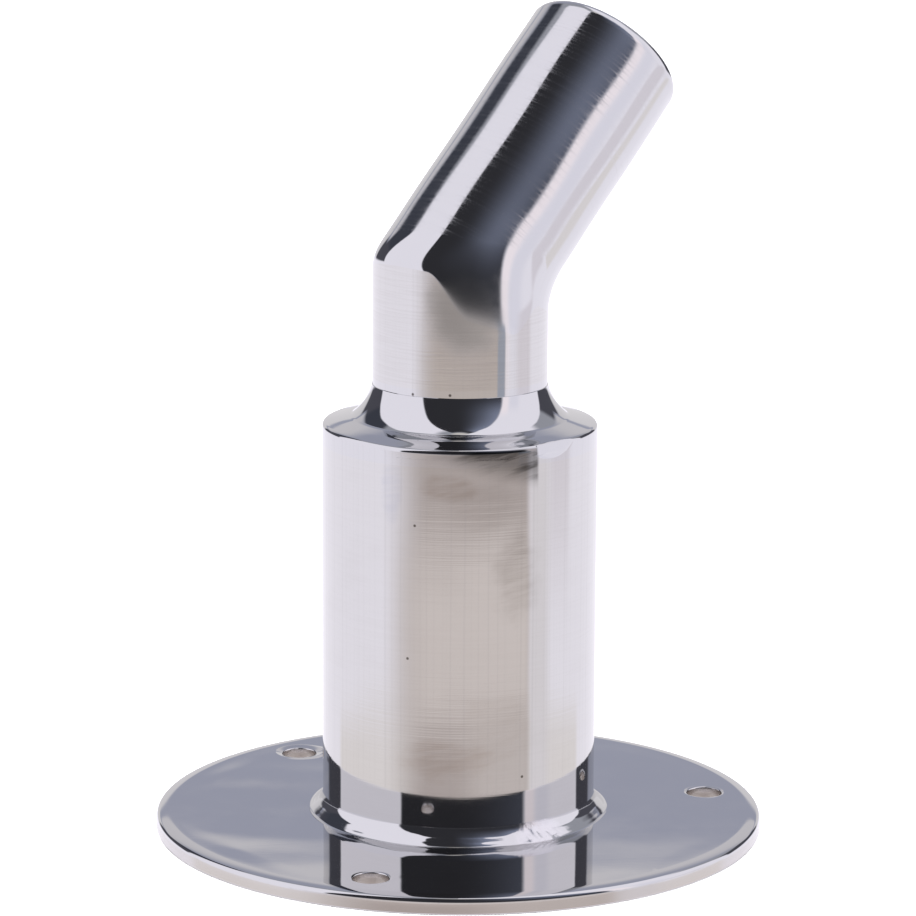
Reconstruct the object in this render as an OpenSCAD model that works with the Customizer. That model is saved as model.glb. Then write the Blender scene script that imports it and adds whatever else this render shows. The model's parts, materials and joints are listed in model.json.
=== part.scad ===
// Stanchion base in polished stainless steel: a round deck plate, a fat sleeve
// welded to it, a turned collar on the sleeve, a neck tube on the collar and a
// slimmer spigot tube welded on at an angle. Every joint is a weld.
// The origin is the middle of the plate's underside. Z is up and the spigot
// leans towards +X. All sizes are millimetres.

/* [Base plate] */
// Diameter of the round deck plate
plate_d = 89; // [84:1:120]
// Thickness of the deck plate
plate_t = 2.5; // [1.5:0.1:4]
// Rounding of the plate's upper edge
plate_edge_r = 0.8; // [0.2:0.1:1.2]

/* [Screw holes] */
// Number of screw holes
hole_count = 3; // [3:1:6]
// Diameter of the circle that the screw holes are drilled on
hole_circle_d = 75; // [60:1:76]
// Diameter of a screw hole
hole_d = 5.2; // [4:0.1:6]
// Diameter of the small countersink round a screw hole
hole_flare_d = 6.6; // [6.2:0.1:8]
// Direction of the first screw hole, turned from the way the spigot leans
hole_turn = -33; // [-60:1:60]

/* [Sleeve] */
// Outer diameter of the sleeve
sleeve_d = 40; // [34:1:46]
// Wall of the sleeve
sleeve_wall = 2; // [1.5:0.5:3]
// Height above the deck of the level that the cove on top of the sleeve would run out to
shoulder_h = 60.4; // [40:0.2:90]

/* [Foot weld] */
// How far the foot weld reaches out over the plate
foot_weld_w = 1.4; // [0.8:0.1:3]
// How far the foot weld climbs the sleeve
foot_weld_h = 2.6; // [1:0.1:4]

/* [Collar] */
// Radius of the cove from the shoulder up to the neck
cove_r = 6.1; // [5:0.1:6.4]
// Angle by which the shoulder falls away from the cove to the rim
shoulder_fall = 18; // [0:1:20]
// Depth of the seam under the rim below the level that the cove would run out to
collar_rim_t = 2.3; // [2.3:0.1:4]
// Rounding of the collar's upper edge
collar_edge_r = 0.6; // [0.2:0.1:0.8]
// Depth of the collar's register inside the sleeve
collar_register = 5; // [2:0.5:12]

/* [Neck] */
// Outer diameter of the neck tube
neck_d = 25.4; // [22:0.1:26]
// Wall of the neck tube
neck_wall = 1.6; // [1:0.1:2]
// Height above the deck at which the neck's and the spigot's axes cross
bend_h = 82.2; // [76:0.1:120]

/* [Spigot] */
// Outer diameter of the spigot tube
spigot_d = 24; // [21:0.1:25]
// Wall of the spigot tube
spigot_wall = 1.6; // [1.4:0.1:2]
// Angle between the neck's axis and the spigot's axis
bend_angle = 45; // [20:1:45]
// Length of the spigot from the crossing of the axes to its open end
spigot_l = 42.2; // [25:0.1:80]
// Rounding of the spigot's outer edge
spigot_edge_r = 1.2; // [0.3:0.1:1.3]
// Distance along the spigot from the crossing of the axes to where a rail tube stops
spigot_seat = 8; // [8:0.1:12]
// How much the spigot's radius grows for each millimetre below that seat
seat_taper = 0.03; // [0.01:0.01:0.05]

/* [Welds] */
// Width of a seam weld at the surface
seam_w = 1.2; // [0.8:0.1:1.6]
// Depth of a seam weld
seam_depth = 0.8; // [0.4:0.1:1]
// Width of the weld at the bend, ground down from the neck to the spigot
bend_weld_w = 5; // [1:0.5:5]

/* [Hidden] */
$fn = 96;

slack = 1;                                  // how far a cutting solid runs past a face
reach = 200;                                // side of the blocks that cut the mitre
slice_t = 0.02;                             // thickness of an outline slice of a tube
flare_depth = (hole_flare_d - hole_d) / 2;  // a 45 degree countersink
sleeve_r = sleeve_d / 2;
neck_r = neck_d / 2;
spigot_r = spigot_d / 2;
neck_bore_r = neck_r - neck_wall;
spigot_bore_r = spigot_r - spigot_wall;
seam_h = shoulder_h - collar_rim_t;         // the sleeve ends and the collar rests here
neck_h = shoulder_h + cove_r;               // the collar ends and the neck tube starts here
cove_end_r = neck_r + cove_r * (1 - sin(shoulder_fall));     // the cove meets the shoulder here
cove_end_h = neck_h - cove_r * cos(shoulder_fall);
rim_h = cove_end_h - (sleeve_r - cove_end_r) * tan(shoulder_fall);

// Takes the outer corner off a profile at (x, y), leaving an arc of radius r between the
// upright side and a top that falls towards the corner by an angle.
module corner_cut(x, y, r, fall = 0) {
    far = r + slack;
    translate([x - r, y + r * (tan(fall) - 1 / cos(fall))]) difference() {
        polygon([[0, 0], [far, 0], [far, far], [far * sin(fall), far * cos(fall)]]);
        circle(r);
    }
}

// The V of a seam weld, open to the outside at radius r and height h.
module seam_v(r, h) {
    polygon([[r, h - seam_w / 2], [r, h + seam_w / 2], [r - seam_depth, h]]);
}

// A plain tube standing on height h.
module tube(outer_r, bore_r, h, length) {
    translate([0, 0, h]) difference() {
        cylinder(r = outer_r, h = length);
        translate([0, 0, -slack]) cylinder(r = bore_r, h = length + 2 * slack);
    }
}

// Puts its children at the crossing of the axes, leaning by the angle towards +X.
module at_bend(angle) {
    translate([0, 0, bend_h]) rotate([0, angle, 0]) children();
}

// Everything more than dist beyond the mitre plane, on the spigot's side.
module past_mitre(dist) {
    at_bend(bend_angle / 2) translate([-reach / 2, -reach / 2, dist]) cube(reach);
}

// Everything on the neck's side of a plane dist beyond the mitre plane.
module before_mitre(dist) {
    at_bend(bend_angle / 2) translate([-reach / 2, -reach / 2, dist - reach]) cube(reach);
}

module screw_hole() {
    translate([0, 0, -slack]) cylinder(d = hole_d, h = plate_t + 2 * slack);
    translate([0, 0, plate_t - flare_depth])
        cylinder(d1 = hole_d, d2 = hole_flare_d + 2 * slack, h = flare_depth + slack);
}

module base_plate() {
    color("#8f93a2") difference() {
        rotate_extrude() difference() {
            square([plate_d / 2, plate_t]);
            corner_cut(plate_d / 2, plate_t, plate_edge_r);
        }
        for (i = [0 : hole_count - 1])
            rotate(hole_turn + i * 360 / hole_count)
                translate([hole_circle_d / 2, 0, 0])
                    screw_hole();
    }
}

module foot_weld() {
    color("#c9c8cc") rotate_extrude()
        polygon([[sleeve_r, plate_t], [sleeve_r + foot_weld_w, plate_t],
                 [sleeve_r, plate_t + foot_weld_h]]);
}

module sleeve() {
    color("#b9b3ad") rotate_extrude() difference() {
        translate([sleeve_r - sleeve_wall, plate_t]) square([sleeve_wall, seam_h - plate_t]);
        seam_v(sleeve_r, seam_h);
    }
}

module shoulder_weld() {
    color("#d6d3d0") rotate_extrude() seam_v(sleeve_r, seam_h);
}

module shoulder_collar() {
    register_r = sleeve_r - sleeve_wall;
    color("#a5a6ac") rotate_extrude() difference() {
        union() {
            translate([neck_bore_r, seam_h - collar_register])
                square([register_r - neck_bore_r, collar_register + slack]);
            difference() {
                polygon([[neck_bore_r, seam_h], [sleeve_r, seam_h], [sleeve_r, rim_h],
                         [cove_end_r, cove_end_h], [cove_end_r, neck_h], [neck_bore_r, neck_h]]);
                translate([neck_r + cove_r, neck_h]) circle(cove_r);
            }
        }
        corner_cut(sleeve_r, rim_h, collar_edge_r, shoulder_fall);
        seam_v(sleeve_r, seam_h);
        seam_v(neck_r, neck_h);
    }
}

module neck_weld() {
    color("#d6d3d0") rotate_extrude() seam_v(neck_r, neck_h);
}

module neck_tube() {
    color("#b9b3ad") difference() {
        tube(neck_r, neck_bore_r, neck_h, bend_h - neck_h + neck_d);
        past_mitre(-bend_weld_w / 2);
        rotate_extrude() seam_v(neck_r, neck_h);
    }
}

// A thin slice of whatever solid it is given, dist beyond the mitre plane.
module mitre_slice(dist) {
    difference() {
        children();
        past_mitre(dist + slice_t / 2);
        before_mitre(dist - slice_t / 2);
    }
}

// Half of the spigot's outline from its axis outwards: a slight taper up to the seat,
// and a straight tube with a rounded edge above it.
module spigot_profile() {
    difference() {
        polygon([[0, -spigot_d], [spigot_r + seat_taper * (spigot_seat + spigot_d), -spigot_d],
                 [spigot_r, spigot_seat], [spigot_r, spigot_l], [0, spigot_l]]);
        corner_cut(spigot_r, spigot_l, spigot_edge_r);
    }
}

// The weld runs from the neck's outline down to the slimmer spigot's, with both bores in it.
module bend_weld() {
    far = bend_weld_w / 2;
    color("#d6d3d0") difference() {
        hull() {
            mitre_slice(-far + slice_t / 2)
                translate([0, 0, neck_h]) cylinder(r = neck_r, h = bend_h - neck_h + neck_d);
            mitre_slice(far - slice_t / 2)
                at_bend(bend_angle) rotate_extrude() spigot_profile();
        }
        translate([0, 0, neck_h]) difference() {
            cylinder(r = neck_bore_r, h = bend_h - neck_h + neck_d);
            translate([0, 0, -neck_h]) past_mitre(0);
        }
        difference() {
            at_bend(bend_angle) translate([0, 0, -spigot_d]) cylinder(r = spigot_bore_r, h = 2 * spigot_d);
            before_mitre(-slice_t);
        }
    }
}

module spigot_tube() {
    color("#7f8390") difference() {
        at_bend(bend_angle) rotate_extrude() difference() {
            spigot_profile();
            translate([0, -spigot_d - slack]) square([spigot_bore_r, spigot_d + spigot_l + 2 * slack]);
        }
        before_mitre(bend_weld_w / 2);
    }
}

base_plate();
foot_weld();
sleeve();
shoulder_weld();
shoulder_collar();
neck_weld();
neck_tube();
bend_weld();
spigot_tube();
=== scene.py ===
import json
import math
import bpy
import numpy as np
from mathutils import Matrix, Vector


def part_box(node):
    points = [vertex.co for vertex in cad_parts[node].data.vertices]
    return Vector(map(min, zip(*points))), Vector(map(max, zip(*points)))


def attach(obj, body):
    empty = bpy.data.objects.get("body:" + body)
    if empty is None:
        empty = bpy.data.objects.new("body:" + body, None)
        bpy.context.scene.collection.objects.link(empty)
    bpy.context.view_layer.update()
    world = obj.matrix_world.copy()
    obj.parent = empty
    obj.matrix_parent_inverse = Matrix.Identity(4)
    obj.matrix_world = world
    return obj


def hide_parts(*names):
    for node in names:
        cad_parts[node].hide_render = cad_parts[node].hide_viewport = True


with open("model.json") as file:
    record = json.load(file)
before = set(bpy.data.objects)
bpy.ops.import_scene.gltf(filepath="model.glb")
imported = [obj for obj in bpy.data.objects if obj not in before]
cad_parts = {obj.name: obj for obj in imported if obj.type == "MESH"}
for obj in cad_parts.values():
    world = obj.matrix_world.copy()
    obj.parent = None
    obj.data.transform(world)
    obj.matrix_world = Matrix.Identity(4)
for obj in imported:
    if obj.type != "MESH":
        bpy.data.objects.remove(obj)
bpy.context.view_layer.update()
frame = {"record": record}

# ---------------------------------------------------------------- base plate
# The deck plate: a disc of stainless sheet with a rolled upper edge and three
# lightly countersunk screw holes, buffed to a mirror that is not quite flat.
MM = 0.001
UP = (0, 0, 1)
PLATE_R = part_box("base_plate")[1].x
PLATE_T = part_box("base_plate")[1].z
EDGE_R = 0.65 * MM
CORNER_BREAK = 0.15 * MM
WALL_MIDDLE = 0.9 * MM
ROLL_TILT = math.radians(12)
ROLL_WIDTH = 1.5 * MM
ROLL_DROP = ROLL_WIDTH * math.tan(ROLL_TILT) / 2
FLAT_R = PLATE_R - EDGE_R + EDGE_R * math.sin(ROLL_TILT) - ROLL_WIDTH
ARC_STEPS = 96
STEEL = (0.62, 0.62, 0.635)
DRILLED = (0.86, 0.80, 0.76)
SHEARED = (0.60, 0.57, 0.55)


def mount(name):
    """The record's mount of that name."""
    return next(m for m in frame["record"]["mounts"] if m["name"] == name)


SCREWS = mount("screw_circle")["dims"]
HOLE_CIRCLE = SCREWS["pcd_mm"] / 2 * MM
HOLE_R = SCREWS["hole_r_mm"] * MM
HOLE_EDGE_R = 0.2 * MM
HOLE_DISH = math.radians(13)
HOLE_FLARES = (0.35 * MM, 1.05 * MM, 0.35 * MM)
HOLE_TURNS = np.radians([-33, 87, 207])


def smooth_step(low, high, value):
    """0 below low, 1 above high, and a cubic with level ends in between."""
    t = np.clip((value - low) / (high - low), 0, 1)
    return t * t * (3 - 2 * t)


def finish_mesh(name, points, faces, node):
    """Merges points that fall together, makes the mesh, shades it smooth but for
    true corners, and hands it to the frame in place of its CAD node."""
    merge_distance = 0.0005 * MM
    corner_angle = math.radians(28)
    rounded = np.round(points / merge_distance).astype(np.int64)
    _, first, where = np.unique(rounded, axis=0, return_index=True, return_inverse=True)
    faces = where.reshape(-1)[faces]
    whole = np.ones(len(faces), bool)
    for corner in range(faces.shape[1]):
        whole &= faces[:, corner] != faces[:, (corner + 1) % faces.shape[1]]
    mesh = bpy.data.meshes.new(name)
    mesh.from_pydata(points[first].tolist(), [], faces[whole].tolist())
    mesh.validate()
    mesh.shade_smooth()
    mesh.set_sharp_from_angle(angle=corner_angle)
    piece = bpy.data.objects.new(name, mesh)
    bpy.context.scene.collection.objects.link(piece)
    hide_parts(node)
    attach(piece, "root")
    return piece


def grid_faces(rows, columns, wrap_rows, wrap_columns):
    """Quads of a grid whose point (i, j) has index i * columns + j. Each faces the
    side on which the rows run to the left of the columns."""
    row_steps = np.arange(rows - (not wrap_rows))
    column_steps = np.arange(columns - (not wrap_columns))
    i, j = (steps.ravel() for steps in np.meshgrid(row_steps, column_steps, indexing="ij"))
    below, right = (i + 1) % rows, (j + 1) % columns
    corners = (i, j), (below, j), (below, right), (i, right)
    return np.stack([row * columns + column for row, column in corners], axis=1)


def round_angles(count):
    """count angles spread evenly round a full turn, as a column."""
    return np.linspace(0, 2 * math.pi, count, endpoint=False)[:, None]


def lathe(r, z, angles):
    """Points at radius r and height z for every angle: (r cos a, r sin a, z)."""
    return np.stack([r * np.cos(angles), r * np.sin(angles), z + 0 * r * angles], axis=-1)


def at_turn(radius, turn, height):
    """The one point at that radius, that angle round the Z axis and that height."""
    return (radius * math.cos(turn), radius * math.sin(turn), height)


def plate_warp(x, y):
    """How far the buffed face stands off a true plane: three crossed long waves of
    about a hundredth of a millimetre, stronger on one side and fading at the rim."""
    x, y = x / MM, y / MM
    waves = (0.010 * np.sin(x / 5.3 + y / 12.5 + 0.8) + 0.012 * np.sin(y / 6.1 - x / 11.0)
             + 0.004 * np.sin((x + y) / 3.4 + 1.9))
    uneven = 0.35 + 1.35 * smooth_step(8, -24, x - y)
    from_rim = PLATE_R / MM - np.hypot(x, y)
    return uneven * waves * MM * smooth_step(2.3, 6.5, from_rim)


def third_outline():
    """Outline of a third of the flat disc: its arc from -60 to +60 degrees, in to the
    centre along one straight edge and out again along the other."""
    edge_steps = 44
    arc = np.radians(np.linspace(-60, 60, ARC_STEPS + 1))
    rim = FLAT_R * np.stack([np.cos(arc), np.sin(arc)], axis=1)
    inwards = np.linspace(1, 0, edge_steps + 1)[1:, None]
    outwards = inwards[-2::-1]
    return np.concatenate([rim, rim[-1] * inwards, rim[0] * outwards])


def top_rings(flare):
    """Rings of a third of the upper side, as (share of the way out, hole radius, height):
    up the hole's wall, round its edge, over a dish of width flare and out over the face."""
    wall_top = PLATE_T * 0.6
    first_share = 0.004
    dish_edge = PLATE_T - flare * math.tan(HOLE_DISH) - HOLE_EDGE_R
    turn = np.linspace(0, math.pi / 2 - HOLE_DISH, 7)
    edge_r = HOLE_R + HOLE_EDGE_R * (1 - np.cos(turn))
    edge_z = dish_edge + HOLE_EDGE_R * np.sin(turn)
    edge = [(0, r, z) for r, z in zip(edge_r, edge_z)]
    steps = np.linspace(0, 1, 56) ** 1.3
    face = [(first_share + (1 - first_share) * step, HOLE_R + flare, PLATE_T) for step in steps]
    return [(0, HOLE_R, 0), (0, HOLE_R, wall_top), *edge, (0, HOLE_R + flare, PLATE_T), *face]


def plate_thirds(rings_of_thirds):
    """Three thirds of one side of the plate, each drawn ring by ring from its hole out to
    its own outline. A ring's point lies share of the way from the hole to the outline."""
    hole = np.array([HOLE_CIRCLE, 0])
    spoke = third_outline() - hole
    unit = spoke / np.linalg.norm(spoke, axis=1, keepdims=True)
    points, faces = [], []
    for turn, rings in zip(HOLE_TURNS, rings_of_thirds):
        share, radius, height = np.array(rings).T[:, :, None]
        flat = hole + unit * (radius * (1 - share))[:, :, None] + spoke * share[:, :, None]
        x = flat[..., 0] * math.cos(turn) - flat[..., 1] * math.sin(turn)
        y = flat[..., 0] * math.sin(turn) + flat[..., 1] * math.cos(turn)
        on_face = (height > PLATE_T * 0.99) * smooth_step(0, 0.04, share)
        grid = np.stack([x, y, height + plate_warp(x, y) * on_face], axis=-1)
        faces.append(grid_faces(len(rings), len(spoke), False, True) + sum(len(p) for p in points))
        points.append(grid.reshape(-1, 3))
    return np.concatenate(points), np.concatenate(faces)


def plate_rim():
    """Section of the rim from the underside's edge to the face's, carried round: a broken
    corner, an upright wall, a rounded edge and a roll that flattens out as a parabola."""
    turn = np.linspace(0, math.pi / 2 - ROLL_TILT, 11)[:-1]
    roll = np.linspace(1, 0, 9)
    edge_z = PLATE_T - ROLL_DROP - EDGE_R * math.cos(ROLL_TILT)
    r = np.concatenate([[FLAT_R, PLATE_R - CORNER_BREAK, PLATE_R, PLATE_R],
                        PLATE_R - EDGE_R + EDGE_R * np.cos(turn), FLAT_R + ROLL_WIDTH * roll])
    z = np.concatenate([[0, 0, CORNER_BREAK, WALL_MIDDLE],
                        edge_z + EDGE_R * np.sin(turn), PLATE_T - ROLL_DROP * roll ** 2])
    points = lathe(r[None, :], z[None, :], round_angles(3 * ARC_STEPS) + HOLE_TURNS[0])
    return points.reshape(-1, 3), grid_faces(3 * ARC_STEPS, len(r), True, False)


top_points, top_faces = plate_thirds([top_rings(flare) for flare in HOLE_FLARES])
low_points, low_faces = plate_thirds([[(share, HOLE_R, 0) for share in np.linspace(0, 1, 12)]] * 3)
rim_points, rim_faces = plate_rim()
rim_start = len(top_points) + len(low_points)
plate = finish_mesh("deck_plate", np.concatenate([top_points, low_points, rim_points]),
                    np.concatenate([top_faces, low_faces[:, ::-1] + len(top_points), rim_faces + rim_start]),
                    "base_plate")


class Finish:
    """One procedural steel finish. Patterns read object coordinates, in metres."""

    def __init__(self, name, colour, roughness):
        self.material = bpy.data.materials.new(name)
        self.material.use_nodes = True
        self.tree = self.material.node_tree
        self.shader = self.tree.nodes["Principled BSDF"]
        self.shader.inputs["Metallic"].default_value = 1.0
        self.colour = (*colour, 1.0)
        self.roughness = roughness
        self.relief = None
        self.place = self.add("ShaderNodeTexCoord").outputs["Object"]

    def give(self, node, key, value):
        """Links a socket to a node's input, or sets the input to a plain value."""
        if isinstance(value, bpy.types.NodeSocket):
            self.tree.links.new(value, node.inputs[key])
        else:
            node.inputs[key].default_value = value

    def add(self, kind, *inputs, **named):
        """A node of that kind, with its first inputs and its named inputs given."""
        node = self.tree.nodes.new(kind)
        for key, value in [*enumerate(inputs), *named.items()]:
            self.give(node, key, value)
        return node

    def math(self, operation, a, b=0.0):
        node = self.add("ShaderNodeMath", a, b)
        node.operation = operation
        return node.outputs[0]

    def vector(self, operation, a, b=(0, 0, 0)):
        node = self.add("ShaderNodeVectorMath", a, b)
        node.operation = operation
        return node

    def along(self, axis):
        """How far the place lies along an axis of unit length."""
        return self.vector("DOT_PRODUCT", self.place, axis).outputs["Value"]

    def bearing(self, front):
        """Degrees round the Z axis from the front angle, anticlockwise seen from above."""
        front = math.radians(front)
        forward = self.along((math.cos(front), math.sin(front), 0))
        sideways = self.along((-math.sin(front), math.cos(front), 0))
        return self.math("MULTIPLY", self.math("ARCTAN2", sideways, forward), 180 / math.pi)

    def ramp(self, value, low, high, start=0.0, end=1.0):
        """start where value is below low, end above high, smooth in between."""
        node = self.add("ShaderNodeMapRange", value, low, high, start, end)
        node.interpolation_type = "SMOOTHSTEP"
        return node.outputs[0]

    def noise(self, scale, detail=2.0, turn=(0, 0, 0)):
        """Cloudy noise from 0 to 1 with scale blots per metre along each turned axis."""
        turned = self.add("ShaderNodeVectorRotate", self.place)
        turned.rotation_type = "EULER_XYZ"
        turned.inputs["Rotation"].default_value = turn
        stretched = self.vector("MULTIPLY", turned.outputs[0], scale).outputs[0]
        return self.add("ShaderNodeTexNoise", stretched, Scale=1.0, Detail=detail).outputs["Fac"]

    def patch(self, centre, size, ragged=0.5, grain=900.0):
        """1 in the middle of an egg of half-axes size round centre, fading to 0 around it,
        with an edge made ragged by noise."""
        away = self.vector("SUBTRACT", self.place, centre).outputs[0]
        shrunk = self.vector("MULTIPLY", away, [1 / s for s in size]).outputs[0]
        length = self.vector("LENGTH", shrunk).outputs["Value"]
        if ragged:
            drift = self.math("SUBTRACT", self.noise((grain,) * 3, 3.0), 0.5)
            length = self.math("ADD", length, self.math("MULTIPLY", drift, 2 * ragged))
        return self.ramp(length, 1.25, 0.55)

    def tint(self, mask, colour, strength=1.0):
        """Mixes colour over what is there, by mask times strength."""
        if strength < 1:
            mask = self.math("MULTIPLY", mask, strength)
        node = self.add("ShaderNodeMix")
        node.data_type = "RGBA"
        for key, value in ((0, mask), (6, self.colour), (7, (*colour, 1.0))):
            self.give(node, key, value)
        self.colour = node.outputs[2]

    def raise_by(self, amount, share):
        """Adds a height of amount metres times share, which is 0 to 1."""
        lift = self.math("MULTIPLY", share, amount)
        self.relief = self.math("ADD", self.relief, lift) if self.relief else lift

    def roughen(self, mask, amount=1.0):
        """Adds amount times mask to the roughness."""
        self.roughness = self.math("ADD", self.math("MULTIPLY", mask, amount), self.roughness)

    def done(self, *pieces):
        """Gives the shader its colour, roughness and bump, and the pieces the material."""
        self.give(self.shader, "Base Color", self.colour)
        self.give(self.shader, "Roughness", self.roughness)
        bump = self.add("ShaderNodeBump", Height=self.relief, Strength=1.0, Distance=1.0)
        self.give(self.shader, "Normal", bump.outputs[0])
        for piece in pieces:
            piece.data.materials.append(self.material)


def clouded(finish, scale, amount):
    """Roughness that drifts from nothing up to amount over patches of 1 / scale metres."""
    finish.roughen(finish.ramp(finish.noise((scale,) * 3, 4.0), 0.35, 0.7, 0.0, amount))


mirror = Finish("mirror_plate", STEEL, 0.02)
clouded(mirror, 120.0, 0.03)
mirror.raise_by(0.014 * MM, mirror.noise((60.0, 60.0, 60.0)))
mirror.raise_by(0.0006 * MM, mirror.noise((40.0, 3500.0, 40.0), 3.0, (0, 0, 0.6)))
for turn in HOLE_TURNS:
    drilled = mirror.patch(at_turn(HOLE_CIRCLE, turn, PLATE_T * 0.3), (3.0 * MM, 3.0 * MM, 2.4 * MM), 0.0)
    mirror.roughen(drilled, 0.5)
    mirror.tint(drilled, DRILLED)
sheared = mirror.ramp(mirror.along(UP), PLATE_T * 0.66, PLATE_T * 0.58)
mirror.roughen(sheared, 0.12)
mirror.tint(sheared, SHEARED, 0.6)
mirror.done(plate)

# ----------------------------------------------------------------- foot weld
# A bead of weld metal round the sleeve's foot, ground to a hollow fillet and
# buffed. Its start and stop lie front right and stayed rough.
SLEEVE_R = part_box("sleeve")[1].x
BEAD_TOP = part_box("foot_weld")[1].z
BEAD_ROOT = 0.3 * MM
TOE_R = 0.6 * MM
TOE_REACH = 2.062 * MM
HOLLOW_R = 2.0 * MM
SCAR_TURN = math.radians(-100)
SCAR_SPAN = math.radians(9)
SCAR_HEIGHT = 3.8 * MM
SCAR_PALE = (0.84, 0.82, 0.86)


def arc(centre_r, centre_z, radius, start, end, count):
    """count points on an arc from start to end degrees, as (r, z) rows."""
    turn = np.radians(np.linspace(start, end, count))
    return np.stack([centre_r + radius * np.cos(turn), centre_z + radius * np.sin(turn)], axis=1)


def weld_section():
    """Outline of the bead: a hollow toe on the plate, a straight slope, a wider hollow up
    to the sleeve, and back down inside the wall."""
    toe = arc(SLEEVE_R + TOE_REACH, PLATE_T + TOE_R, TOE_R, 270, 226, 14)
    hollow = arc(SLEEVE_R + HOLLOW_R, BEAD_TOP, HOLLOW_R, 230, 180, 28)
    slope = np.linspace(toe[-1], hollow[0], 8)[1:-1]
    inside = [[SLEEVE_R - BEAD_ROOT, BEAD_TOP], [SLEEVE_R - BEAD_ROOT, PLATE_T]]
    return np.concatenate([toe, slope, hollow, inside])


def near_angle(angles, centre, half_width):
    """1 at the centre angle, falling smoothly to 0 at half_width to either side."""
    off = np.abs((angles - centre + math.pi) % (2 * math.pi) - math.pi)
    return smooth_step(half_width, half_width * 0.35, off)


def bead_surface(r, z, turns):
    """The section carried round the sleeve. Three waves make it wander by hundredths of a
    millimetre, and at the scar it stands out, sinks and is lumpy."""
    wander = 0.05 * np.sin(7 * turns + 1.0) + 0.03 * np.sin(13 * turns + 0.4) + 0.012 * np.sin(31 * turns)
    scar = near_angle(turns, SCAR_TURN, SCAR_SPAN)
    lumps = np.sin(turns * 61) * np.sin(z / MM * 2.1 + turns * 23)
    outer = smooth_step(SLEEVE_R + 0.02 * MM, SLEEVE_R + 0.6 * MM, r)
    off_plate = z > PLATE_T * 1.2
    bead_r = r + outer * (0.6 * wander + scar * (0.22 + 0.07 * lumps)) * MM
    bead_z = z + outer * off_plate * (0.5 * wander - scar * (0.25 - 0.04 * lumps)) * MM
    return lathe(bead_r, bead_z, turns)


def ring_mesh(name, grid, node):
    """A piece from a grid of points that closes on itself both ways."""
    rows, columns = grid.shape[:2]
    return finish_mesh(name, grid.reshape(-1, 3), grid_faces(rows, columns, True, True), node)


bead_r, bead_z = weld_section().T[:, None, :]
foot = ring_mesh("foot_bead", bead_surface(bead_r, bead_z, round_angles(720)), "foot_weld")

bead_steel = Finish("polished_weld", STEEL, 0.05)
bead_steel.raise_by(0.015 * MM, bead_steel.noise((260.0, 260.0, 400.0), 3.0))
scar_place = at_turn(SLEEVE_R * 1.06, SCAR_TURN, SCAR_HEIGHT)
scar_patch = bead_steel.patch(scar_place, (4.2 * MM, 3.0 * MM, 2.4 * MM), 0.3)
bead_steel.roughen(scar_patch, 0.22)
pitted = bead_steel.math("SUBTRACT", bead_steel.noise((900.0,) * 3, 2.0), 0.5)
bead_steel.raise_by(0.08 * MM, bead_steel.math("MULTIPLY", scar_patch, pitted))
bead_steel.tint(scar_patch, SCAR_PALE, 0.45)
bead_steel.done(foot)

# -------------------------------------------------------------------- sleeve
# The fat lower tube: rolled stainless, brushed round and round with fine grit
# and then buffed, so that faint lines and a few scuffs show in the shine.
SLEEVE_WALL = 2 * MM
SLEEVE_BORE = SLEEVE_R - SLEEVE_WALL
SLEEVE_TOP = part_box("sleeve")[1].z
RIM_SEAM_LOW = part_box("shoulder_weld")[0].z
FINE_ROWS_TOP = 10 * MM
BRUSHED = (0.63, 0.625, 0.625)
STREAKED = (0.56, 0.55, 0.545)
BLOTTED = (0.54, 0.53, 0.52)
# Near-black for the wedge painted under the rim.
WEDGE_DARK = (0.09, 0.088, 0.086)
PIT = (0.16, 0.15, 0.14)
FRONT_TURN = -134.1


def tube_wave(angles, z):
    """How far a hand-buffed wall stands off a true tube: slow waves round it and up
    it, a few thousandths of a millimetre high."""
    z = z / MM
    return (0.004 * np.sin(5 * angles + z / 9) + 0.003 * np.sin(11 * angles - z / 6 + 2)
            + 0.004 * np.sin(z / 5.2 + 2 * angles)) * MM


sleeve_section = np.concatenate([
    np.linspace([SLEEVE_R, PLATE_T], [SLEEVE_R, FINE_ROWS_TOP], 30),
    np.linspace([SLEEVE_R, FINE_ROWS_TOP], [SLEEVE_R, RIM_SEAM_LOW], 110)[1:],
    [[SLEEVE_BORE, SLEEVE_TOP], [SLEEVE_BORE, PLATE_T]]])
turns = round_angles(360)
sleeve_r, sleeve_z = sleeve_section.T[:, None, :]
outside = sleeve_r > SLEEVE_R - SLEEVE_WALL / 2
sleeve = ring_mesh("lower_sleeve", lathe(sleeve_r + outside * tube_wave(turns, sleeve_z), sleeve_z, turns),
                   "sleeve")


def dark_rim_wedge(finish):
    """A near-black wedge painted into the colour under the rim: it deepens from left to right
    and stops short at an upright edge. Returns the streaks that break it up."""
    slant = 0.09 * MM
    around = finish.bearing(FRONT_TURN)
    height = finish.along(UP)
    grain = finish.noise((160.0, 160.0, 1100.0), 4.0, (0.16, 0.16, 0))
    streaky = finish.ramp(grain, 0.25, 0.7, 0.35, 1.0)
    slanted = finish.math("ADD", height, finish.math("MULTIPLY", around, slant))
    wedge = finish.ramp(slanted, 56.4 * MM, 60.2 * MM)
    for edge in (finish.ramp(height, 60 * MM, 59.7 * MM), finish.ramp(around, 34.5, 32.8),
                 finish.ramp(around, -20.0, 6.0), finish.math("MAXIMUM", streaky, 0.65)):
        wedge = finish.math("MULTIPLY", wedge, edge)
    # Paints the wedge under the rim near-black.
    finish.tint(wedge, WEDGE_DARK)
    return streaky


def pores(finish, colour, *places):
    """Small dark pits at (radius, angle, height), in millimetres and degrees."""
    for radius, degrees, height in places:
        centre = at_turn(radius * MM, math.radians(degrees), height * MM)
        finish.tint(finish.patch(centre, (0.22 * MM,) * 3, 0.2), colour)


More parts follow.
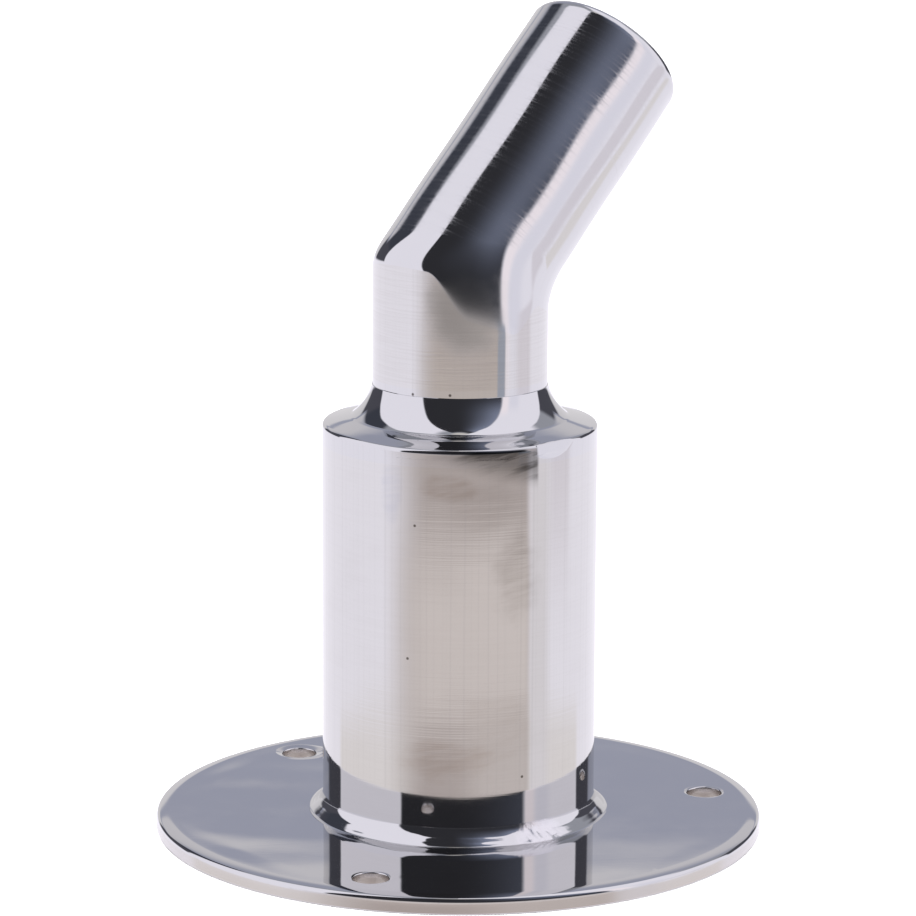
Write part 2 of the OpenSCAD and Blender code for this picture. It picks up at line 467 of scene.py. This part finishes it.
satin = Finish("brushed_sleeve", BRUSHED, 0.03)
clouded(satin, 90.0, 0.03)
satin.raise_by(0.0009 * MM, satin.noise((60.0, 60.0, 5200.0), 3.0))
satin.raise_by(0.0015 * MM, satin.noise((25.0, 25.0, 900.0), 3.0))
satin.tint(satin.ramp(satin.noise((90.0, 90.0, 3200.0), 4.0), 0.35, 0.75), STREAKED, 0.15)
satin.tint(satin.ramp(satin.noise((120.0, 120.0, 240.0), 5.0), 0.5, 0.8), BLOTTED, 0.18)
# The near-black wedge painted under the rim; its streaks also break up the smudges below.
wedge_streaks = dark_rim_wedge(satin)
# Smudges, each at an angle and a height, with its half width, half height, strength and colour.
for degrees, height, wide, tall, strength, colour in (
        (-139, 54.6, 4.2, 1.8, 0.5, (0.43, 0.38, 0.34)), (-163, 54.0, 1.6, 5.0, 0.30, (0.44, 0.46, 0.54)),
        (-110, 41.5, 3.6, 6.5, 0.5, (0.40, 0.385, 0.37)), (-140, 15.0, 7.0, 3.0, 0.3, (0.42, 0.35, 0.29)),
        (-124, 52.0, 5.5, 4.0, 0.25, (0.42, 0.40, 0.38)), (-118, 19.0, 5.0, 6.0, 0.2, (0.44, 0.40, 0.36))):
    centre = at_turn(SLEEVE_R, math.radians(degrees), height * MM)
    smudge = satin.patch(centre, (wide * MM, wide * MM, tall * MM), 0.5, 300.0)
    satin.tint(satin.math("MULTIPLY", smudge, wedge_streaks), colour, strength)
pores(satin, PIT, *((SLEEVE_R / MM, *spot) for spot in ((-155.5, 29.6), (-152.5, 49.0), (-107.0, 12.0))))
satin.done(sleeve)

# ------------------------------------------------- shoulder weld and collar
# The turned collar closes the sleeve: a thin rim, a sloping shoulder with a cove
# up to the neck, and a register that sits inside the sleeve. The seam under its
# rim is welded and ground flush. Front right, the grinder left a small flat.
COLLAR_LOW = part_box("shoulder_collar")[0].z
RIM_SEAM_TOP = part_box("shoulder_weld")[1].z
NECK_SEAM_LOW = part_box("neck_weld")[0].z
NECK_SEAM_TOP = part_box("neck_weld")[1].z
NECK_SEAT = (NECK_SEAM_LOW + NECK_SEAM_TOP) / 2
NECK_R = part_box("neck_weld")[1].x
TUBE_WALL = 1.6 * MM
NECK_BORE = NECK_R - TUBE_WALL
SEAM_DEPTH = 0.8 * MM
RIM_EDGE = 0.6 * MM
COVE_R = 8.45 * MM
CROOK_R = 1.2 * MM
COVE_STEEP, COVE_LEVEL = np.radians([10, 50])
FALL = math.radians(14)
DUBBING = 0.35
DUBBED_SPAN = math.radians(55)
FLAT_TURN = math.radians(-93)
FLAT_STOP = math.radians(-100.7)
FLAT_DEPTH = 19.45 * MM
FLAT_SLOPE = 4.0
PORE = (0.14, 0.13, 0.13)


def hollow_line(radius, steep, level, start, count):
    """count points down a hollow arc from start (r, z), whose face looks steep radians
    above the horizontal at first and level radians at last."""
    turn = np.linspace(steep, level, count)
    return np.stack([start[0] + radius * (math.cos(steep) - np.cos(turn)),
                     start[1] + radius * (math.sin(steep) - np.sin(turn))], axis=1)


under_seam = 5
cove = hollow_line(COVE_R, COVE_STEEP, COVE_LEVEL, (NECK_R, NECK_SEAT), 60)[under_seam:]
crook = hollow_line(CROOK_R, COVE_LEVEL, math.pi / 2 - FALL, cove[-1], 16)
SHOULDER_Z = crook[-1][1] - (SLEEVE_R - crook[-1][0]) * math.tan(FALL)
RIM_EDGE_Z = SHOULDER_Z + RIM_EDGE * (math.tan(FALL) - 1 / math.cos(FALL))


def ground_flat(r, z, angles):
    """Radius cut back to a sloping plane, which meets the shoulder along a chord, runs
    out into the wall below it and ends at an upright step on one side."""
    facing = np.cos(angles - FLAT_TURN)
    limit = (FLAT_DEPTH + np.maximum(SHOULDER_Z - z, 0) / FLAT_SLOPE) / np.maximum(facing, 0.2)
    reached = (facing > 0.5) & (np.sin(angles - FLAT_STOP) > 0)
    return np.where(reached, np.minimum(r, limit), r)


def seam_ring(name, node, radius, cut=None):
    """A ground seam: an upright outer face, cut where a flat reaches it, and a V of weld
    metal behind it."""
    low, high = (corner.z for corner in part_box(node))
    face = np.linspace([radius, low], [radius, high], 15)
    r, z = np.concatenate([face, [[radius - SEAM_DEPTH, (low + high) / 2]]]).T[:, None, :]
    turns = round_angles(360)
    outside = r > radius - SEAM_DEPTH / 2
    face_r = r + tube_wave(turns, z) * outside
    if cut:
        face_r = np.where(outside, cut(face_r, z, turns), face_r)
    return ring_mesh(name, lathe(face_r, z, turns), node)


shoulder_seam = seam_ring("shoulder_seam", "shoulder_weld", SLEEVE_R, ground_flat)
edge_arc = arc(SLEEVE_R - RIM_EDGE, RIM_EDGE_Z, RIM_EDGE, 0, 90 - math.degrees(FALL), 10)
cove_arc = np.concatenate([cove, crook[1:]])[::-1]
collar_section = np.concatenate([
    np.linspace([SLEEVE_R, RIM_SEAM_TOP], [SLEEVE_R, RIM_EDGE_Z], 6), edge_arc[1:],
    np.linspace(edge_arc[-1], cove_arc[0], 26)[1:-1], cove_arc,
    [[NECK_R - SEAM_DEPTH, NECK_SEAT], [NECK_BORE, NECK_SEAT], [NECK_BORE, COLLAR_LOW],
     [SLEEVE_BORE, COLLAR_LOW], [SLEEVE_BORE, SLEEVE_TOP], [SLEEVE_R - SEAM_DEPTH, SLEEVE_TOP]]])


def collar_surface(r, z, turns):
    """The section carried round. The rim has the tube's waves and its ground flat, the
    cove has shallow waves, and the rim is dubbed over at the front."""
    on_rim = r > SLEEVE_R * 0.999
    on_cove = (z > RIM_EDGE_Z + RIM_EDGE / 2) & (r < SLEEVE_R - RIM_EDGE)
    cove_waves = 0.008 * np.sin(9 * turns + r / MM) + 0.006 * np.sin(4 * turns + 1)
    outer = smooth_step(SLEEVE_R - 2.4 * MM, SLEEVE_R - 0.2 * MM, r) * (z > RIM_SEAM_TOP)
    dubbed = outer * near_angle(turns, math.radians(FRONT_TURN), DUBBED_SPAN)
    collar_r = ground_flat(r + on_rim * tube_wave(turns, z), z, turns)
    return lathe(collar_r, z + (on_cove * cove_waves - DUBBING * dubbed) * MM, turns)


section_r, section_z = collar_section.T[:, None, :]
collar = ring_mesh("turned_collar", collar_surface(section_r, section_z, round_angles(480)),
                   "shoulder_collar")

collar_steel = Finish("turned_collar", STEEL, 0.025)
clouded(collar_steel, 200.0, 0.03)
collar_steel.raise_by(0.03 * MM, collar_steel.noise((150.0,) * 3))
collar_steel.raise_by(0.0012 * MM, collar_steel.noise((50.0, 50.0, 2600.0), 3.0))
# The near-black wedge painted under the rim, carried on over the collar.
dark_rim_wedge(collar_steel)
pores(collar_steel, PORE, (12.95, -62.5, 64.9), (12.95, -61.5, 64.0))
collar_steel.done(collar)

# --------------------------------------------- neck, bend and spigot tubes
# The neck is a 25.4 mm tube on the collar. A slimmer tube is mitred onto it at
# 45 degrees, and the weld between them is ground and buffed into one sweep.
SPIGOT = mount("rail_spigot")
SPIGOT_MIDDLE = Vector(SPIGOT["pos_m"])
LEAN = Vector(SPIGOT["axis"]).normalized()
BEND_Z = SPIGOT_MIDDLE.z - SPIGOT_MIDDLE.x * LEAN.z / LEAN.x
HALF_BEND = math.acos(LEAN.z) / 2
SPIGOT_R = SPIGOT["dims"]["r_mm"] * MM
SPIGOT_BORE = SPIGOT_R - TUBE_WALL
PAST_STRAIGHT = 1.2 * MM
STRAIGHT_END = (SPIGOT_MIDDLE - Vector((0, 0, BEND_Z))).length + SPIGOT["dims"]["length_mm"] / 2 * MM
SPIGOT_END = STRAIGHT_END + PAST_STRAIGHT
LIP_R = TUBE_WALL
NECK_STREAKED = (0.53, 0.515, 0.51)
HALF_BUFFED = (0.50, 0.51, 0.48)

neck_seam = seam_ring("neck_seam", "neck_weld", NECK_R)
seam_steel = Finish("ground_seam", STEEL, 0.05)
seam_steel.raise_by(0.001 * MM, seam_steel.noise((60.0, 60.0, 4000.0), 3.0))
# The near-black wedge painted under the rim, carried on over the seam.
dark_rim_wedge(seam_steel)
pores(seam_steel, PORE, (NECK_R / MM, -140.5, 66.5), (NECK_R / MM, -166.0, 66.3))
seam_steel.done(shoulder_seam, neck_seam)


def neck_point(radius, angles, height):
    """Points on the neck's straight wall: a circle round the Z axis, at a height."""
    flat = radius + 0 * angles * height
    return np.stack([flat * np.cos(angles), flat * np.sin(angles), height + 0 * flat], axis=-1)


def spigot_point(radius, angles, along):
    """Points on the spigot's straight wall: a circle round the leaning axis, at a
    distance along it from the crossing of the axes."""
    across = np.array([LEAN.z, 0.0, -LEAN.x])
    side = np.array([0.0, 1.0, 0.0])
    axis = np.array(LEAN)
    radius, along = radius + 0 * angles * along, along + 0 * angles * radius
    ring = (np.cos(angles)[..., None] * across + np.sin(angles)[..., None] * side) * radius[..., None]
    return ring + axis * along[..., None] + np.array([0, 0, BEND_Z])


def bend_reach(angles):
    """How far the ground sweep runs down the neck and up the spigot from the mitre, at
    each angle. It is shortest near the outer corner and reaches down furthest in front."""
    front = near_angle(angles, math.radians(246), math.radians(42))
    down = (2.5 + 0.5 * np.cos(angles - math.radians(180)) + 5.5 * front) * MM
    up = (2.5 + 1.7 * (1 + np.cos(angles + math.radians(35)))) * MM
    return down, up


def sweep_ends(neck_radius, spigot_radius, angles):
    """Height on the neck and distance on the spigot at which the sweep starts and ends."""
    down, up = bend_reach(angles)
    fall = math.tan(HALF_BEND) * np.cos(angles)
    return BEND_Z - neck_radius * fall - down, spigot_radius * fall + up


def sweep(neck_radius, spigot_radius, angles, share):
    """The ground sweep at the bend: a cubic curve at each angle that leaves the neck's
    wall along the neck and arrives at the spigot's wall along the spigot."""
    low, high = sweep_ends(neck_radius, spigot_radius, angles)
    down, up = bend_reach(angles)
    start, end = neck_point(neck_radius, angles, low), spigot_point(spigot_radius, angles, high)
    first = start + np.array(UP) * (0.60 * down)[..., None]
    last = end - np.array(LEAN) * (0.66 * up)[..., None]
    t = share[None, :, None]
    return (1 - t) ** 3 * start + 3 * (1 - t) ** 2 * t * first + 3 * (1 - t) * t ** 2 * last + t ** 3 * end


turns = round_angles(360)
neck_top, spigot_low = sweep_ends(NECK_R, SPIGOT_R, turns)
neck_bore_top, spigot_bore_low = sweep_ends(NECK_BORE, SPIGOT_BORE, turns)
rise = np.linspace(0, 1, 60)
wall_z = NECK_SEAM_TOP + (neck_top - NECK_SEAM_TOP) * rise
wall_r = NECK_R + tube_wave(turns, wall_z) * smooth_step(1, 0.8, rise)
bore_z = NECK_SEAT + (neck_bore_top - NECK_SEAT) * np.linspace(1, 0, 6)
neck_grid = np.concatenate([neck_point(wall_r, turns, wall_z), neck_point(NECK_BORE, turns, bore_z),
                            neck_point(NECK_R - SEAM_DEPTH, turns, NECK_SEAT)], axis=1)
neck = ring_mesh("neck_pipe", neck_grid, "neck_tube")

bend_grid = np.concatenate([sweep(NECK_R, SPIGOT_R, turns, np.linspace(0, 1, 40)),
                            sweep(NECK_BORE, SPIGOT_BORE, turns, np.linspace(1, 0, 10))], axis=1)
bend = ring_mesh("ground_bend", bend_grid, "bend_weld")

wall_rows = spigot_low + (SPIGOT_END - LIP_R - spigot_low) * np.linspace(0, 1, 80)
bore_rows = spigot_bore_low + (SPIGOT_END - spigot_bore_low) * np.linspace(1, 0, 12)
fade_in = smooth_step(0, 6 * MM, wall_rows - spigot_low)
fade_out = smooth_step(SPIGOT_END, SPIGOT_END - 4 * MM, wall_rows)
sway = 0.05 * np.sin((wall_rows / MM - 13) / 3.9) * np.sin(2 * (turns - math.radians(200))) * MM
wall_r = SPIGOT_R + (tube_wave(turns, wall_rows) + sway) * fade_in * fade_out
lip_turn = np.linspace(0, math.pi / 2, 12)[None, 1:]
lip_r = SPIGOT_R - LIP_R * (1 - np.cos(lip_turn))
lip_rows = SPIGOT_END - LIP_R * (1 - np.sin(lip_turn))
spigot_grid = np.concatenate([spigot_point(wall_r, turns, wall_rows), spigot_point(lip_r, turns, lip_rows),
                              spigot_point(SPIGOT_BORE, turns, bore_rows)], axis=1)
spigot = ring_mesh("spigot_pipe", spigot_grid, "spigot_tube")


def ground_area(finish):
    """The front of the bend was ground and only half buffed, so it shines less."""
    centre = at_turn(NECK_R, math.radians(231), 78.5 * MM)
    mask = finish.patch(centre, (6 * MM, 6 * MM, 6.5 * MM), 0.3, 300.0)
    finish.roughen(mask, 0.18)
    finish.tint(mask, HALF_BUFFED, 0.35)


neck_steel = Finish("brushed_neck", BRUSHED, 0.04)
clouded(neck_steel, 150.0, 0.04)
neck_steel.raise_by(0.0028 * MM, neck_steel.noise((90.0, 90.0, 3600.0), 3.0))
neck_streaks = neck_steel.ramp(neck_steel.noise((90.0, 90.0, 3600.0), 4.0), 0.35, 0.75)
neck_steel.tint(neck_streaks, NECK_STREAKED, 0.3)
ground_area(neck_steel)
neck_steel.done(neck)

bend_steel = Finish("ground_bend", STEEL, 0.04)
ground_area(bend_steel)
bend_steel.raise_by(0.0015 * MM, bend_steel.noise((60.0, 60.0, 3000.0), 3.0, (0, -HALF_BEND, 0)))
bend_steel.done(bend)

SPIGOT_TILT = (0, -2 * HALF_BEND, 0)
spigot_steel = Finish("polished_spigot", STEEL, 0.04)
spigot_steel.raise_by(0.0007 * MM, spigot_steel.noise((60.0, 60.0, 4200.0), 2.0, SPIGOT_TILT))
cross_lines = spigot_steel.ramp(spigot_steel.noise((60.0, 60.0, 5200.0), 3.0, SPIGOT_TILT), 0.35, 0.75)
spigot_steel.roughen(cross_lines, 0.16)
spigot_steel.done(spigot)

# -------------------------------------------------------------------- studio
# A sweep of white floor under one wide soft lamp. The steel mirrors a painted
# room: white screens left and right, dark gaps behind them and a dark front.
FLOOR_R = 6
FLOOR_DROP = 0.05 * MM
WHITE = (1.14, 1.11, 1.20)
BLACK = (0.038, 0.038, 0.044)

floor_mesh = bpy.data.meshes.new("studio_floor")
floor_ring = lathe(FLOOR_R, -FLOOR_DROP, round_angles(96)[:, 0])
floor_mesh.from_pydata(floor_ring.tolist(), [], [list(range(len(floor_ring)))])
floor = bpy.data.objects.new("studio_floor", floor_mesh)
bpy.context.scene.collection.objects.link(floor)
floor.visible_glossy = False
floor_paint = bpy.data.materials.new("studio_floor")
floor_paint.use_nodes = True
paint = floor_paint.node_tree.nodes["Principled BSDF"]
paint.inputs["Base Color"].default_value = (0.92, 0.92, 0.93, 1)
paint.inputs["Roughness"].default_value = 1.0
paint.inputs["Specular IOR Level"].default_value = 0.0
floor_mesh.materials.append(floor_paint)


class Room(Finish):
    """The painted room that the steel mirrors, by direction from the object. side is the
    bearing from the front, which grows to the right of a person who faces the object,
    off is its size to either side, and height is the elevation."""

    def __init__(self, colour):
        world = bpy.data.worlds.new("studio_room")
        bpy.context.scene.world = world
        world.use_nodes = True
        self.tree = world.node_tree
        self.tree.nodes.clear()
        self.place = self.add("ShaderNodeTexCoord").outputs["Generated"]
        self.side = self.bearing(FRONT_TURN)
        self.off = self.math("ABSOLUTE", self.side)
        self.height = self.math("MULTIPLY", self.math("ARCSINE", self.along(UP)), 180 / math.pi)
        self.colour = (*colour, 1.0)

    def band(self, value, low, high, soft_low, soft_high):
        """1 between low and high degrees, with soft edges of those widths."""
        rising = self.ramp(value, low - soft_low / 2, low + soft_low / 2)
        falling = self.ramp(value, high - soft_high / 2, high + soft_high / 2, 1.0, 0.0)
        return self.math("MULTIPLY", rising, falling)

    def card(self, across, bearings, heights, colour):
        """A painted card between two bearings and two elevations. Each pair is followed by
        the widths of its two soft edges."""
        mask = self.math("MULTIPLY", self.band(across, *bearings), self.band(self.height, *heights))
        self.tint(mask, colour)


room = Room((0.42, 0.43, 0.48))
# The floor, and a white screen on either side.
room.card(room.off, (-1, 190, 1, 1), (-95, -2, 2, 6), WHITE)
room.card(room.off, (49, 119, 3, 3), (-30, 78, 4, 6), WHITE)
# The dark gaps behind the screens, and a skylight on the right.
room.card(room.off, (119, 151, 3, 5), (-3, 24, 4, 6), (0.09, 0.09, 0.11))
room.card(room.side, (-144, -119, 5, 3), (20, 46, 6, 5), (0.06, 0.065, 0.085))
room.card(room.side, (62, 200, 4, 1), (46, 95, 8, 1), WHITE)
# The back wall: a pale skirting, a blue-grey wall and a paler strip across it.
room.card(room.off, (151, 200, 5, 1), (-2, 16, 4, 3), (0.80, 0.78, 0.80))
room.card(room.off, (144, 200, 7, 1), (15, 52, 2, 8), (0.42, 0.435, 0.53))
room.card(room.off, (144, 200, 7, 1), (17.4, 28, 0.8, 12), (0.72, 0.70, 0.73))
# Warmer and cooler strips along the inner edge of the right screen, and its foot.
room.card(room.side, (58, 68, 2, 8), (-10, 40, 10, 20), (1.26, 1.16, 1.21))
room.card(room.side, (68, 82, 8, 10), (-10, 30, 6, 20), (1.04, 1.02, 1.13))
room.card(room.side, (80, 104, 12, 8), (-13, -4, 3, 2), (0.97, 0.92, 0.99))
# The floor close by, the beige floor in front and a blue-grey strip at its right end.
room.card(room.off, (-1, 119, 1, 6), (-95, -15.4, 1, 0.9), (1.02, 0.97, 0.97))
room.card(room.side, (62, 80, 5, 12), (-95, -11.2, 2, 1.4), (0.98, 0.94, 0.98))
room.card(room.side, (-46, 60, 46, 8), (-95, -8, 2, 3), (0.60, 0.53, 0.51))
room.card(room.side, (-46, 60, 46, 8), (-15.6, -12.9, 0.7, 1.0), (0.88, 0.80, 0.775))
room.card(room.side, (10, 60, 30, 8), (-95, -15.4, 2, 0.7), (0.76, 0.69, 0.67))
room.card(room.side, (-46, 60, 46, 8), (-11.5, -10.2, 0.8, 0.8), (0.74, 0.66, 0.61))
room.card(room.side, (50, 61, 3, 3), (-11.5, -7, 0.6, 2), (0.47, 0.50, 0.58))
# The dark front, which turns blue towards its right and upper side.
room.card(room.side, (-49, 57, 3, 5), (-7, 84, 5, 5), BLACK)
blue = room.math("POWER", room.ramp(room.side, -22, 74), 2.2)
for edge in (room.ramp(room.height, 8, 45, 0.08, 1.0), room.band(room.side, -22, 57, 2, 5),
             room.band(room.height, -6, 80, 5, 4)):
    blue = room.math("MULTIPLY", blue, edge)
room.tint(blue, (0.34, 0.38, 0.52))
# Faint upright streaks below the horizon, and the ceiling.
drift = room.add("ShaderNodeCombineXYZ", room.math("MULTIPLY", room.side, 0.35)).outputs[0]
drift = room.add("ShaderNodeTexNoise", drift, Scale=1.0, Detail=2.0).outputs["Fac"]
streak = room.math("MULTIPLY", room.ramp(drift, 0.5, 0.75), room.ramp(room.height, -6, -9, 0.0, 0.2))
room.tint(streak, (0.45, 0.43, 0.45))
room.card(room.off, (-1, 200, 1, 1), (85, 95, 3, 4), (0.80, 0.76, 0.72))
room.tint(room.add("ShaderNodeLightPath").outputs["Is Camera Ray"], (1.0, 1.0, 1.0))
background = room.add("ShaderNodeBackground", room.colour, 1.0)
room.add("ShaderNodeOutputWorld", background.outputs[0])

lamp = bpy.data.lights.new("soft_lamp", "AREA")
lamp.shape = "DISK"
lamp.size = 3.0
lamp.energy = 120
lamp_place = bpy.data.objects.new("soft_lamp", lamp)
bpy.context.scene.collection.objects.link(lamp_place)
lamp_place.location = (0, 0, 2.0)
lamp_place.visible_glossy = False
lamp_place.visible_camera = False
bpy.context.scene.view_settings.view_transform = "Standard"

# -------------------------------------------------------------------- camera
# A long lens a little above the spigot, turned a hair so that the part leans
# as it stood in front of the lens.
AIM = Vector((0, 0, 0.05485))
TILT = math.radians(11.75)
DISTANCE = 0.585
ROLL = math.radians(0.25)
camera = bpy.data.cameras.new("camera")
camera.lens = 158.2
camera.sensor_width = 36
camera.shift_x = -0.0019
camera.clip_start = 0.01
camera.clip_end = 50
eye = bpy.data.objects.new("camera", camera)
bpy.context.scene.collection.objects.link(eye)
away = Vector(at_turn(math.cos(TILT), math.radians(FRONT_TURN), math.sin(TILT)))
eye.location = AIM + away * DISTANCE
eye.rotation_euler = (away.to_track_quat("Z", "Y").to_matrix() @ Matrix.Rotation(ROLL, 3, "Z")).to_euler()
bpy.context.scene.camera = eye
